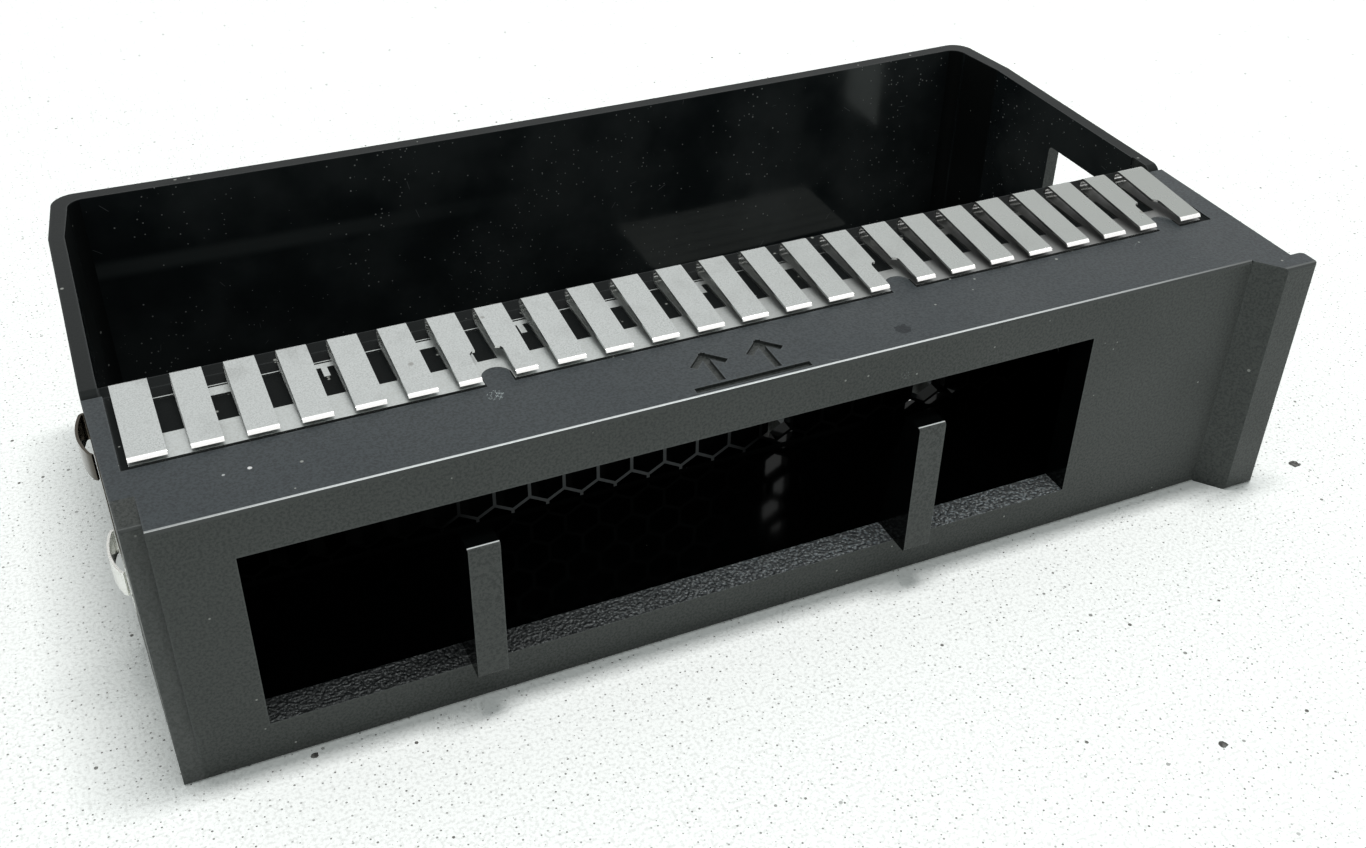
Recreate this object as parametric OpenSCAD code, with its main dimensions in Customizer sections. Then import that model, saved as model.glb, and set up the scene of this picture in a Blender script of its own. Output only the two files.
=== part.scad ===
// Drive bay blank filler: a moulded open tray with a framed honeycomb front,
// a clip-on contact spring along its top, a short one on its left wall, and a blank label.
// Millimetres, +Z up. The front faces -Y. The origin is the centre of the bottom face.

/* [Body] */
// Width of the body between its side walls' outer faces
body_w = 103; // [90:0.5:120]
// Depth from the front face to the rear wall
body_d = 52.4; // [46:0.2:80]
// Height of the front section's top plate
body_h = 25.3; // [24:0.1:30]
// Depth of the closed front section
bezel_d = 17.9; // [17.6:0.1:20]
// Thickness of the side and rear walls
wall = 1.4; // [1.1:0.1:2]
// Thickness of the front section's bottom
sole_t = 2.6; // [2:0.1:3.2]
// Thickness of the tray's floor
floor_t = 2.2; // [1.4:0.1:2.8]
// Thickness of the top plate
roof_t = 1.7; // [1.2:0.1:2.2]
// Height of the tray's rim above the top plate
rim_rise = 0.3; // [0.1:0.05:0.8]
// Radius of the front face's long edges
edge_r = 0.35; // [0.1:0.05:0.8]

/* [Face] */
// Thickness of the front face
face_t = 2.7; // [2:0.1:3.4]
// Left edge of the window, from the body's left side
window_x0 = 7.7; // [6:0.1:12]
// Right edge of the window
window_x1 = 82.4; // [72:0.1:94]
// Bottom edge of the window
window_z0 = 4.05; // [3.2:0.05:6]
// Top edge of the window
window_z1 = 21.15; // [19:0.05:22.6]
// Left sides of the two window posts
post_x = [24.1, 63.9]; // [8:0.1:80]
// Width of a window post
post_w = 2.6; // [1.6:0.1:4]
// Distance that a post stands in front of the face
post_out = 1.8; // [0.6:0.1:2.4]
// Height of the posts' free top ends
post_top = 17.7; // [10:0.1:19]
// Depth of a post at its top
post_top_d = 2.3; // [2:0.1:4]

/* [Edge flange] */
// Distance that the flange stands in front of the face
flange_out = 2.4; // [1:0.1:4]
// Distance that the flange reaches past the right wall
flange_reach = 1.4; // [0.5:0.1:3]
// Width of the flange's front face
flange_w = 3.3; // [2.6:0.1:6]
// Thickness of the flange
flange_t = 2; // [1.2:0.1:2.4]
// Width of the slant between the face and the flange
flange_slant = 2; // [1:0.1:4]

/* [Left shoulder] */
// Width of the shoulder at the face's left end
shoulder_w = 2.1; // [1.5:0.1:4]
// Distance that the shoulder's top edge leans back behind the face
shoulder_back = 1.5; // [0.4:0.1:1.8]
// Length of the shoulder's sloping top
shoulder_l = 4.5; // [3:0.1:6]
// Fall of that slope at its front
shoulder_drop = 0.4; // [0.2:0.05:0.8]
// Distance that the face's left end is drawn back in plan
corner_back = 0.15; // [0.05:0.05:0.8]
// Taper of the left side in plan, towards the face
side_taper = 0.5; // [0:0.05:0.6]

/* [Tray] */
// Draft of the tray's side walls in plan, towards the rear
tray_draft = 0.35; // [0:0.05:0.6]
// Length of the lead-in taper at the rear corners
lead_l = 6; // [3:0.5:10]
// Width of the lead-in taper
lead_w = 0.8; // [0.3:0.1:2]
// Radius of the rear corners
rear_r = 2.2; // [1.5:0.1:4]
// Inward bow of the rear wall at its middle
rear_bow = 0.8; // [0.1:0.1:1.2]
// Front and rear ends of the opening in the right wall
side_hole_y = [22.3, 33.3]; // [22:0.1:42]
// Bottom and top of the opening in the right wall
side_hole_z = [7.2, 21.2]; // [4:0.1:23]
// Corner radius of that opening
side_hole_r = 0.5; // [0.3:0.1:2]

/* [Honeycomb wall] */
// Distance between neighbouring cells' centres
cell_pitch = 3.42; // [3:0.02:6]
// Thickness of the webs between cells
cell_web = 0.32; // [0.3:0.01:0.8]
// Distance from the top plate's rear edge to the cells' front
cell_in = 0.4; // [0:0.1:1]
// Depth of the cells
cell_depth = 1.3; // [0.8:0.1:1.8]
// Thickness of the wall behind the cells
cell_back = 1.1; // [0.8:0.1:2]
// First cell's centre, from the body's left side
cell_x0 = 3.15; // [2.9:0.05:4.5]
// Height of the lowest whole cells' centres
cell_z0 = 5.3; // [4.8:0.1:6]
// Number of rows of whole cells
cell_rows = 6; // [2:1:6]
// Left edges of the two vent slots behind the cells
vent_x = [61.1, 77.1]; // [4:0.1:90]
// Widths of the two vent slots
vent_w = [2.8, 4.6]; // [1:0.1:8]
// Top of the vent slots
vent_top = 16; // [10:0.5:20]
// Rear end of the vent slots in the tray's floor
vent_rear = 23.6; // [21.8:0.1:28]

/* [Contact springs] */
// Thickness of the spring sheet
sheet_t = 0.22; // [0.15:0.01:0.3]
// Number of fingers on the top strip
finger_n = 24; // [6:1:24]
// Width of a finger
finger_w = 2.4; // [1.6:0.05:3]
// Width of the two end fingers
end_finger_w = 2.85; // [2:0.05:3.2]
// Gap between fingers
finger_gap = 1.69; // [1:0.01:2]
// Left end of the top strip
strip_x0 = 2.2; // [1.9:0.1:4]
// Front edge of the top strip
strip_y0 = 8; // [7:0.1:9]
// Radius of the fold at the fingers' roots
fold_r = 0.62; // [0.4:0.02:0.8]
// Downward slope of the fingers, in degrees
finger_slope = 4.6; // [2:0.1:5.2]
// Heights of the side strip's fingers
side_finger_z = [11.4, 23.1]; // [10.5:0.1:23.4]
// Rise of the side fingers' arch
side_arch = 0.5; // [0.2:0.05:0.8]

/* [Label] */
// Length of the label
label_l = 26.5; // [10:0.5:60]
// Width of the label
label_w = 11.5; // [6:0.5:20]
// Left front corner of the label on the tray's floor
label_at = [64, 34]; // [3:0.5:70]
// Thickness of the label
label_t = 0.12; // [0.08:0.01:0.3]

/* [Hidden] */

black = [0.13, 0.14, 0.15];
steel = [0.72, 0.73, 0.72];
white = [0.93, 0.93, 0.9];

right_x = body_w - 0.05;
rim_z = body_h + rim_rise;
rim_r = 1.1;                            // radius at the front ends of the rim
tray_step = 0.2;                        // step of the right wall behind the front section
cell_y = bezel_d + cell_in;             // front of the cells
grille_y1 = cell_y + cell_depth + cell_back;
grille_top = body_h - 1;
flange_root = 1.35;                     // depth that the flange runs into the face
flange_r = 0.5;                         // radius of the flange's rear edge
post_r = 0.3;                           // radius of a post's front ends
finger_pitch = finger_w + finger_gap;
strip_bed = 0.15;                       // depth of the bed that the top strip lies in
bed_z = body_h - strip_bed;
bed_front = strip_y0 - 0.25;
bed_left = strip_x0 - 0.6;
bed_past = 1.1;                         // length of the bed past the strip's right end
fit_gap = 0.2;                          // gap around a clipped-in piece
root_l = 0.6;                           // flat length before a finger's fold
fold_y = bezel_d - 0.95;                // centre of the fold at the fingers' roots
lip_r = 0.3;                            // radius of the turned lip
lip_turn = 145;                         // angle at which the lip ends
lip_l = 0.12;                           // straight length of the lip
lip_back = 0.42;                        // distance from the strip's front edge to the lip
tongue_gaps = [7, 16, 23];              // gaps that hold the plate's locating tongues
tongue_w = 2.3;
tongue_l = 2.5;
relief_w = 0.55;                        // width taken off the fingers beside a tongue
relief_l = 5.2;
gap_y = [3.2, 0.95];                    // insets of a gap's window from the strip's edges
notch_l = 0.85;                         // length of the notch between the fingers' roots
tab_l = 1.1;                            // length of a plain tab
cross_l = 0.6;                          // length of a T tab's cross bar
stem_w = 0.5;                           // width of its stem
stem_l = 1.3;
side_bed_x = 0.35;                      // depth of the side strip's bed
side_bed_z = [9, 24.9];
side_bed_l = 7.5;
side_fold_y = bezel_d - 0.55;
side_fold_r = 0.3;
side_finger_l = 5.1;
side_lip = 0.22;                        // length of a side finger's turned lip
label_r = 0.8;
arc_n = 10;
over = 5;                               // margin of a cut past the body
eps = 0.01;

// Left-front-bottom corner coordinates to the part's own frame
module place() translate([-body_w / 2, -body_d / 2, 0]) children();

// Points of an arc about c, from angle a0 to a1
function arc(c, r, a0, a1, n = arc_n) =
    [for (i = [0 : n]) let (a = a0 + (a1 - a0) * i / n) c + r * [cos(a), sin(a)]];

// Points from a to b along an arc of the given sagitta, to the left of a-b
function bowed(a, b, sagitta, n = arc_n) =
    let (d = b - a, len = norm(d), left = [-d[1], d[0]] / len)
    [for (i = [0 : n]) let (t = i / n) a + d * t + left * sagitta * 4 * t * (1 - t)];

function reversed(p) = [for (i = [len(p) - 1 : -1 : 0]) p[i]];

// Outline of a sheet of thickness t that follows a path
function ribbon(path, t) =
    let (last = len(path) - 1,
         side = [for (i = [0 : last])
             let (d = path[min(i + 1, last)] - path[max(i - 1, 0)])
             [-d[1], d[0]] / norm(d) * t / 2])
    concat([for (i = [0 : last]) path[i] + side[i]],
           reversed([for (i = [0 : last]) path[i] - side[i]]));

// Extrudes a [y, z] outline along X from x0 to x1
module along_x(x0, x1)
    translate([x0, 0, 0]) rotate([90, 0, 90]) linear_extrude(x1 - x0) children();

// Extrudes an [x, z] outline along Y from y0 to y1
module along_y(y0, y1)
    translate([0, y1, 0]) rotate([90, 0, 0]) linear_extrude(y1 - y0) children();

module box(lo, hi) translate(lo) cube(hi - lo);

// ---- Housing ----------------------------------------------------------

// Side view of the front section, with rounded front edges
module bezel_profile()
    polygon(concat(
        [[bezel_d, 0], [bezel_d, body_h]],
        arc([edge_r, body_h - edge_r], edge_r, 90, 180),
        arc([edge_r, edge_r], edge_r, 180, 270)));

// Side view of the shoulder: it leans back from the bottom, and its top slopes
module shoulder_profile()
    polygon(concat(
        [[bezel_d, 0], [bezel_d, body_h], [shoulder_l, body_h]],
        arc([shoulder_back + edge_r, body_h - shoulder_drop - edge_r], edge_r, 90, 180),
        arc([edge_r, edge_r], edge_r, 180, 270)));

// Plan of the front section: the left side and the face's left end draw in
module bezel_plan()
    polygon([[side_taper, corner_back], [shoulder_w, -eps], [right_x, -eps],
             [right_x, bezel_d], [0, bezel_d]]);

module bezel_block()
    intersection() {
        translate([0, 0, -eps]) linear_extrude(body_h + 2 * eps) bezel_plan();
        union() {
            along_x(shoulder_w, right_x) bezel_profile();
            along_x(-eps, shoulder_w) shoulder_profile();
        }
    }

// Plan of the flange: a slant out from the face, then a flat lip with rounded ends
module flange_plan() {
    lip_x1 = right_x + flange_reach;
    lip_x0 = lip_x1 - flange_w;
    front_r = flange_r / 2;
    polygon(concat(
        [[lip_x0 - flange_slant, 0], [lip_x0, -flange_out]],
        arc([lip_x1 - front_r, -flange_out + front_r], front_r, -90, 0, 4),
        arc([lip_x1 - flange_r, -flange_out + flange_t - flange_r], flange_r, 0, 90, 6),
        [[right_x, flange_t - flange_out], [right_x, flange_root],
         [lip_x0 - flange_slant, flange_root]]));
}

module flange()
    intersection() {
        linear_extrude(body_h) flange_plan();
        along_x(right_x - flange_w - flange_slant - over, right_x + flange_reach + over)
            polygon(concat(
                [[over, 0], [over, body_h]],
                arc([edge_r - flange_out, body_h - edge_r], edge_r, 90, 180, 6),
                arc([edge_r - flange_out, edge_r], edge_r, 180, 270, 6)));
    }

// Outer or inner plan of the tray, drawn in from the outside by inset
module tray_plan(inset, y0) {
    x0 = inset;
    x1 = right_x - tray_step - inset;
    y1 = body_d - inset;
    yl = body_d - lead_l - rear_r;
    r = rear_r - inset / 2;
    left = [x0 + tray_draft, yl];
    right = [x1 - tray_draft, yl];
    polygon(concat(
        [[x0, y0], left],
        arc([left[0] + lead_w + r, y1 - r], r, 180, 90, 8),
        bowed([left[0] + lead_w + r, y1], [right[0] - lead_w - r, y1], -rear_bow, 24),
        arc([right[0] - lead_w - r, y1 - r], r, 90, 0, 8),
        [right, [x1, y0]]));
}

// The tray's solid outline; the front ends of its rim are rounded down
module tray_block()
    intersection() {
        linear_extrude(rim_z) tray_plan(0, bezel_d - eps);
        along_x(-over, body_w + over)
            polygon(concat(
                [[bezel_d - eps, 0]],
                arc([bezel_d + rim_r, rim_z - rim_r], rim_r, 180, 90, 8),
                [[body_d + over, rim_z], [body_d + over, 0]]));
    }

// Free-standing post on the window's lower edge, deeper at its foot
module post(x)
    along_x(x, x + post_w)
        polygon(concat(
            [[face_t, window_z0 - eps]],
            arc([post_r - post_out, window_z0 + post_r - eps], post_r, 270, 180, 4),
            arc([post_r - post_out, post_top - post_r], post_r, 180, 90, 4),
            [[post_top_d - post_out, post_top]]));

// One row of cells, in the XZ plane
module cell_row(x0, count, z)
    for (i = [0 : count - 1])
        translate([x0 + i * cell_pitch, z])
            rotate(30) circle((cell_pitch - cell_web) / sqrt(3), $fn = 6);

// Staggered rows of cells; the row below the whole ones is cut off by the sole
module honeycomb() {
    last = floor((right_x - wall - cell_x0) / cell_pitch);
    intersection() {
        for (row = [-1 : cell_rows - 1])
            let (odd = abs(row) % 2)
            cell_row(cell_x0 + odd * cell_pitch / 2, last + 1 - odd,
                     cell_z0 + row * cell_pitch * sqrt(3) / 2);
        translate([wall, sole_t + cell_web]) square([body_w, body_h]);
    }
}

// The middle of gap g (1 = between the first two fingers)
function gap_x(g) = strip_x0 + end_finger_w + finger_gap / 2 + (g - 1) * finger_pitch;
strip_x1 = gap_x(finger_n - 1) + finger_gap / 2 + end_finger_w;

// Plan of a tongue with a round rear end
module tongue_plan(w, l, y0)
    hull() {
        translate([-w / 2, y0]) square([w, 0.5]);
        translate([0, y0 + l - w / 2]) circle(w / 2, $fn = 32);
    }

module strip_bed_cut()
    translate([0, 0, bed_z])
        linear_extrude(2)
            difference() {
                translate([bed_left, bed_front])
                    square([strip_x1 + bed_past - bed_left, bezel_d - bed_front + eps]);
                for (g = tongue_gaps)
                    translate([gap_x(g), 0]) tongue_plan(tongue_w, tongue_l, bed_front - eps);
            }

// Slot up the back of the cells and through the tray's floor behind them
module vent(x0, x1) {
    y0 = cell_y + cell_depth - eps;
    box([x0, y0, -over], [x1, grille_y1 + eps, vent_top]);
    box([x0, y0, -over], [x1, vent_rear, floor_t + eps]);
}

module housing()
    color(black)
    place()
    difference() {
        union() {
            difference() {
                union() {
                    bezel_block();
                    flange();
                }
                box([wall, face_t, sole_t], [right_x - wall, bezel_d + eps, body_h - roof_t]);
                box([window_x0, -over, window_z0], [window_x1, face_t + eps, window_z1]);
            }
            for (x = post_x) post(x);
            difference() {
                tray_block();
                translate([0, 0, floor_t]) linear_extrude(body_h) tray_plan(wall, grille_y1);
                box([wall, bezel_d - over, grille_top],
                    [right_x - wall, grille_y1 + eps, rim_z + over]);
                box([wall, bezel_d - over, sole_t], [right_x - wall, cell_y, body_h - roof_t]);
                along_y(bezel_d - over, cell_y + cell_depth) honeycomb();
                for (i = [0, 1]) vent(vent_x[i], vent_x[i] + vent_w[i]);
            }
        }
        strip_bed_cut();
        box([-over, bezel_d - side_bed_l, side_bed_z[0]],
            [side_bed_x, bezel_d + eps, side_bed_z[1]]);
        along_x(body_w - 2 * wall, body_w + over) side_opening();
    }

module side_opening()
    translate([side_hole_y[0] + side_hole_r, side_hole_z[0] + side_hole_r])
        rounded(side_hole_y[1] - side_hole_y[0], side_hole_z[1] - side_hole_z[0], side_hole_r);

// Rectangle l by h with corner radius r, drawn from its lower left corner's centre
module rounded(l, h, r)
    union() {
        translate([-r, 0]) square([l, h - 2 * r]);
        translate([0, -r]) square([l - 2 * r, h]);
        for (x = [0, l - 2 * r], y = [0, h - 2 * r]) translate([x, y]) circle(r, $fn = 24);
    }

// ---- Contact springs --------------------------------------------------

// Side view of a top finger: out of the bed, folded over at its root, and
// sloping down to a turned lip above the strip's front edge
function top_finger_path() =
    let (bed = bed_z + sheet_t / 2,
         c = [fold_y, bed + fold_r],
         lead = c + fold_r * [-sin(finger_slope), cos(finger_slope)],
         tip_y = strip_y0 + lip_back,
         tip = [tip_y, lead[1] - (lead[0] - tip_y) * tan(finger_slope)],
         lip_c = tip - lip_r * [-sin(finger_slope), cos(finger_slope)])
    concat([[fold_y - root_l, bed]],
           arc(c, fold_r, -90, 90 + finger_slope, 14),
           arc(lip_c, lip_r, 90 + finger_slope, lip_turn, 5),
           [lip_c + lip_r * [cos(lip_turn), sin(lip_turn)] + lip_l * [-sin(lip_turn), cos(lip_turn)]]);

// Side view of a wall finger, in [y, out of the wall]
function side_finger_path() =
    let (bed = -side_bed_x + sheet_t / 2,
         c = [side_fold_y, bed + side_fold_r],
         front = [side_fold_y - side_finger_l, bed + 1.6 * side_fold_r])
    concat([[side_fold_y - root_l, bed]],
           arc(c, side_fold_r, -90, 60, 8),
           bowed(c + side_fold_r * [cos(75), sin(75)], front, -side_arch, 12),
           [front - [side_lip, side_lip]]);

// Left and right edges of finger i, counted from 0
function finger_edges(i) = [
    i == 0 ? strip_x0 : gap_x(i) + finger_gap / 2,
    i == finger_n - 1 ? strip_x1 : gap_x(i + 1) - finger_gap / 2];

function beside_tongue(g) = len([for (t = tongue_gaps) if (t == g) 1]) > 0;

// Window of gap g in the strip's base, with a lanced tab in every second one
module gap_window(g) {
    y0 = strip_y0 + gap_y[0];
    y1 = fold_y - gap_y[1];
    half = finger_gap / 2 - 2 * eps;
    translate([gap_x(g), 0]) {
        difference() {
            translate([-half, y0]) square([2 * half, y1 - y0]);
            if (g % 2 == 0 && !beside_tongue(g))
                gap_tab(y1 - fit_gap, half + eps, g % 4 == 0);
        }
        // open notch between the fingers' roots
        translate([-half, fold_y - notch_l]) square([2 * half, notch_l + over]);
    }
}

// Tab that ends at y1, plain or as a T with its stem to the front
module gap_tab(y1, half, with_stem) {
    l = with_stem ? cross_l : tab_l;
    translate([-half, y1 - l]) square([2 * half, l]);
    if (with_stem)
        translate([-stem_w / 2, y1 - l - stem_l]) square([stem_w, stem_l + eps]);
}

module strip_base_plan()
    difference() {
        translate([strip_x0, strip_y0]) square([strip_x1 - strip_x0, fold_y - strip_y0]);
        for (g = [1 : finger_n - 1]) gap_window(g);
        for (g = tongue_gaps)
            translate([gap_x(g), 0]) tongue_plan(tongue_w + fit_gap, tongue_l - fit_gap, bed_front);
    }

// Plan of finger i: full width at its root, narrower beside a tongue
module finger_plan(i) {
    e = finger_edges(i);
    difference() {
        translate([e[0], strip_y0 - 1]) square([e[1] - e[0], bezel_d]);
        if (i > 0 && beside_tongue(i))
            translate([e[0], strip_y0 - 2]) finger_relief();
        if (i < finger_n - 1 && beside_tongue(i + 1))
            translate([e[1], strip_y0 - 2]) mirror([1, 0]) finger_relief();
    }
}

// Cut off a finger's side, drawn from the finger's edge inwards
module finger_relief()
    union() {
        translate([-1, 0]) square([1 + relief_w, relief_l]);
        translate([0, relief_l]) circle(relief_w, $fn = 24);
    }

module top_spring_strip()
    color(steel)
    place()
    union() {
        translate([0, 0, bed_z]) linear_extrude(sheet_t) strip_base_plan();
        for (i = [0 : finger_n - 1])
            intersection() {
                along_x(finger_edges(i)[0] - 1, finger_edges(i)[1] + 1)
                    polygon(ribbon(top_finger_path(), sheet_t));
                translate([0, 0, bed_z - 1]) linear_extrude(4) finger_plan(i);
            }
    }

module side_spring_strip()
    color(steel)
    place()
    union() {
        box([side_bed_x - sheet_t, bezel_d - side_bed_l + fit_gap, side_bed_z[0] + fit_gap],
            [side_bed_x, side_fold_y - root_l / 2, side_bed_z[1] - fit_gap]);
        for (z = side_finger_z)
            translate([0, 0, z - finger_w / 2])
                linear_extrude(finger_w)
                    polygon([for (p = ribbon(side_finger_path(), sheet_t)) [-p[1], p[0]]]);
    }

// ---- Label -----------------------------------------------------------

module label()
    color(white)
    place()
    translate([label_at[0] + label_r, label_at[1] + label_r, floor_t])
        linear_extrude(label_t)
            rounded(label_l, label_w, label_r);

housing();
top_spring_strip();
side_spring_strip();
label();
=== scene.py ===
"""Looks of a drive bay blank filler.

A black moulded tray with a framed honeycomb front, a row of folded steel contact fingers on its
top plate, two more on its left wall, and a blank label on the tray's floor.
Millimetres are turned to metres by MM. Part frame: +X along the length, +Y to the rear, +Z up,
with the origin at the centre of the bottom face.
"""

import logging
import math
from dataclasses import dataclass, field
from enum import Enum

import bmesh
import bpy
import numpy as np
from mathutils import Matrix, Vector


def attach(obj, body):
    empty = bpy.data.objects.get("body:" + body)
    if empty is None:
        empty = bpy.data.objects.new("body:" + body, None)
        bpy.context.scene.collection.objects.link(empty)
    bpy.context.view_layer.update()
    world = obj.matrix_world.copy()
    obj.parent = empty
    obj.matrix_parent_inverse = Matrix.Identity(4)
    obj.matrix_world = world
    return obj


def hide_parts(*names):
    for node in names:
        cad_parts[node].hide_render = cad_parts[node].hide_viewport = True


MM = 0.001
WELD = 2e-6  # metres within which two corners of a CAD mesh are one

# The body's sizes in millimetres, and its left front corner in the part frame.
BODY_WIDTH = 103.0
BODY_DEPTH = 52.4
PLATE_TOP = 25.3
CORNER = (-BODY_WIDTH / 2, -BODY_DEPTH / 2)

Colour = tuple[float, float, float]
Point = tuple[float, float, float]
Inputs = dict[str | int, object]
Socket = bpy.types.NodeSocket

log = logging.getLogger("blank_filler")
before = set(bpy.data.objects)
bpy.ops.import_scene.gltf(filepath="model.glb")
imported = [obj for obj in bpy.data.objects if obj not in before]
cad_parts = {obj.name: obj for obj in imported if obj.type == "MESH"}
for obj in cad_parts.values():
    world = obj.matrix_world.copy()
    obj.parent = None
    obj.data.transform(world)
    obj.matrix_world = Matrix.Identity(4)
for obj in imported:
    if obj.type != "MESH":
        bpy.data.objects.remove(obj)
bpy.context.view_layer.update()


class Zone(Enum):
    """Areas of the housing, each with its own finish; some finishes hold painted light or shade. The value is
    the slot.
    """

    OUTSIDE = 0
    TOP_PLATE = 1
    INSIDE = 2
    LEDGE = 3
    EDGE = 4
    BED = 5
    CAVITY = 6
    WEBS = 7
    BRIGHT_EDGE = 8
    SHOULDER = 9
    RIM = 10


# ---- Shader building ---------------------------------------------------


class Graph:
    """A node tree being filled, with short calls for the nodes that this part needs."""

    def __init__(self, tree: bpy.types.NodeTree) -> None:
        """Start on an emptied tree."""
        self.tree = tree
        tree.nodes.clear()

    def feed(self, target: Socket, value: object) -> None:
        """Link an output to an input socket, or set the input's own value."""
        if isinstance(value, Socket):
            self.tree.links.new(value, target)
        else:
            target.default_value = value

    def node(self, kind: str, inputs: Inputs | None = None, **props: object) -> bpy.types.Node:
        """Add a node.

        Args:
            kind: Node type name without the "ShaderNode" prefix.
            inputs: Values or output sockets for its input sockets.
            props: Properties of the node.

        Returns:
            The new node.
        """
        made = self.tree.nodes.new(kind if kind.startswith("Node") else "ShaderNode" + kind)
        for name, value in props.items():
            setattr(made, name, value)
        for key, value in (inputs or {}).items():
            self.feed(made.inputs[key], value)
        return made

    def math(self, operation: str, a: object, b: object = 0.0, clamp: bool = False) -> Socket:
        """Return the result of a two-input Math node."""
        return self.node("Math", {0: a, 1: b}, operation=operation, use_clamp=clamp).outputs[0]

    def vector(self, operation: str, a: object, b: object | None = None) -> bpy.types.Node:
        """Add a Vector Math node of one or two vectors."""
        inputs = {0: a} if b is None else {0: a, 1: b}
        return self.node("VectorMath", inputs, operation=operation)

    def axis(self, place: Socket, name: str) -> Socket:
        """Return one coordinate of a place."""
        return self.node("SeparateXYZ", {0: place}).outputs[name]

    def noise(self, place: Socket, scale: object, detail: float) -> Socket:
        """Return a noise with its scale in features a metre."""
        return self.node("TexNoise", {"Vector": place, "Scale": scale, "Detail": detail}).outputs["Fac"]

    def ramp(self, value: object, low: float, high: float) -> Socket:
        """Return value mapped from low..high to 0..1 with smooth ends."""
        inputs = {"Value": value, "From Min": low, "From Max": high}
        return self.node("MapRange", inputs, interpolation_type="SMOOTHSTEP").outputs["Result"]

    def fade(self, value: Socket, reach: object) -> Socket:
        """Return 1 where value is nought, falling evenly to 0 where it comes to reach."""
        return self.math("SUBTRACT", 1.0, self.math("DIVIDE", value, reach), clamp=True)

    def band(self, value: Socket, middle: float, half: float, full: float) -> Socket:
        """Return 0 beyond half a width from a middle value, rising to 1 where fade comes to full."""
        off = self.math("ABSOLUTE", self.math("SUBTRACT", value, middle))
        return self.ramp(self.fade(off, half), 0.0, full)

    def mix(self, factor: object, a: object, b: object) -> Socket:
        """Return colour a mixed towards colour b by factor."""
        made = self.node("Mix", {0: factor}, data_type="RGBA")
        for index, colour in ((6, a), (7, b)):
            self.feed(made.inputs[index], colour if isinstance(colour, Socket) else (*colour, 1.0))
        return made.outputs[2]


def new_group(
    name: str, inputs: dict[str, tuple[str, float]], outputs: dict[str, str]
) -> tuple[bpy.types.NodeTree, Graph, bpy.types.Node, bpy.types.Node]:
    """Make an empty shader node group with named sockets.

    Args:
        name: Name of the group.
        inputs: Socket name to (type, default value).
        outputs: Socket name to type.

    Returns:
        The tree, its graph, its input node and its output node.
    """
    tree = bpy.data.node_groups.new(name, "ShaderNodeTree")
    for socket, (kind, value) in inputs.items():
        made = tree.interface.new_socket(socket, in_out="INPUT", socket_type="NodeSocket" + kind)
        if kind == "Float":
            made.default_value = value
    for socket, kind in outputs.items():
        tree.interface.new_socket(socket, in_out="OUTPUT", socket_type="NodeSocket" + kind)
    graph = Graph(tree)
    return tree, graph, graph.node("NodeGroupInput"), graph.node("NodeGroupOutput")


def grain_group() -> bpy.types.NodeTree:
    """Fine moulded grain: two noises added, the second three times as fine as the first."""
    tree, g, given, out = new_group(
        "Moulded grain",
        {"Vector": ("Vector", 0), "Scale": ("Float", 4000.0)},
        {"Height": "Float", "Patches": "Float"},
    )
    place, scale = given.outputs["Vector"], given.outputs["Scale"]
    coarse = g.noise(place, scale, 2.0)
    fine = g.noise(place, g.math("MULTIPLY", scale, 3.1), 1.0)
    wide = g.noise(place, 90.0, 4.0)
    g.feed(out.inputs["Height"], g.math("ADD", coarse, g.math("MULTIPLY", fine, 0.5)))
    g.feed(out.inputs["Patches"], g.ramp(wide, 0.35, 0.68))
    return tree


def dust_group() -> bpy.types.NodeTree:
    """Dust specks: a disc round the middle of each cell of a cell texture, kept in few cells."""
    tree, g, given, out = new_group(
        "Dust specks",
        {
            "Vector": ("Vector", 0),
            "Spacing": ("Float", 400.0),
            "Share": ("Float", 0.15),
            "Size": ("Float", 0.12),
        },
        {"Mask": "Float"},
    )
    place = given.outputs["Vector"]
    cells = g.node("TexVoronoi", {"Vector": place, "Scale": given.outputs["Spacing"]}, feature="F1")
    drawn = g.node("SeparateColor", {0: cells.outputs["Color"]})
    drifts = g.ramp(g.noise(place, 85.0, 3.0), 0.45, 0.7)
    gathered = g.math("ADD", 0.25, g.math("MULTIPLY", drifts, 2.4))
    kept = g.math("LESS_THAN", drawn.outputs[0], g.math("MULTIPLY", given.outputs["Share"], gathered))
    radius = g.math("MULTIPLY", given.outputs["Size"], g.math("ADD", 0.4, drawn.outputs[1]))
    inside = g.ramp(g.fade(cells.outputs["Distance"], radius), 0.0, 0.5)
    g.feed(out.inputs["Mask"], g.math("MULTIPLY", inside, kept))
    return tree


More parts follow.
